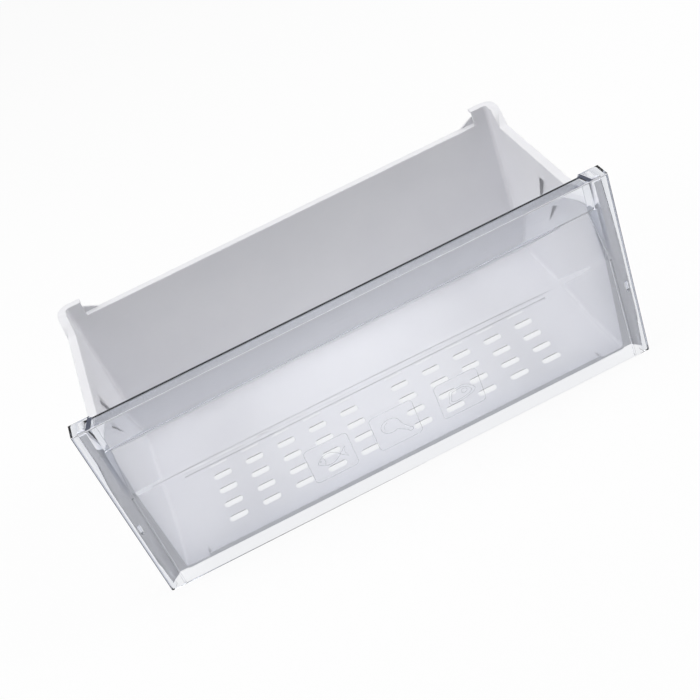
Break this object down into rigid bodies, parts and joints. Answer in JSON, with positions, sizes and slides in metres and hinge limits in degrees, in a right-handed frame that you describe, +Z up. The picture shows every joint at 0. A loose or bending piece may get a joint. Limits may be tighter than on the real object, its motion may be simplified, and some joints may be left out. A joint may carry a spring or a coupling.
{
  "type": "freezer drawer",
  "caption": "Freezer drawer: a slotted white tray with raised rear corners and a clear clip-on front panel with a moulded finger grip.",
  "frame": {"origin": "middle of the bounding box, on the plane of the panel's foot", "axes": "+X to the right seen from the front, +Y from the front panel to the rear wall, +Z up"},
  "size_m": [0.455, 0.218, 0.181],
  "materials": {
    "white_plastic": "satin white moulded plastic",
    "clear_plastic": "clear polished plastic"
  },
  "bodies": {
    "root": {"tray": "white_plastic", "front_panel": "clear_plastic"}
  },
  "joints": []
}
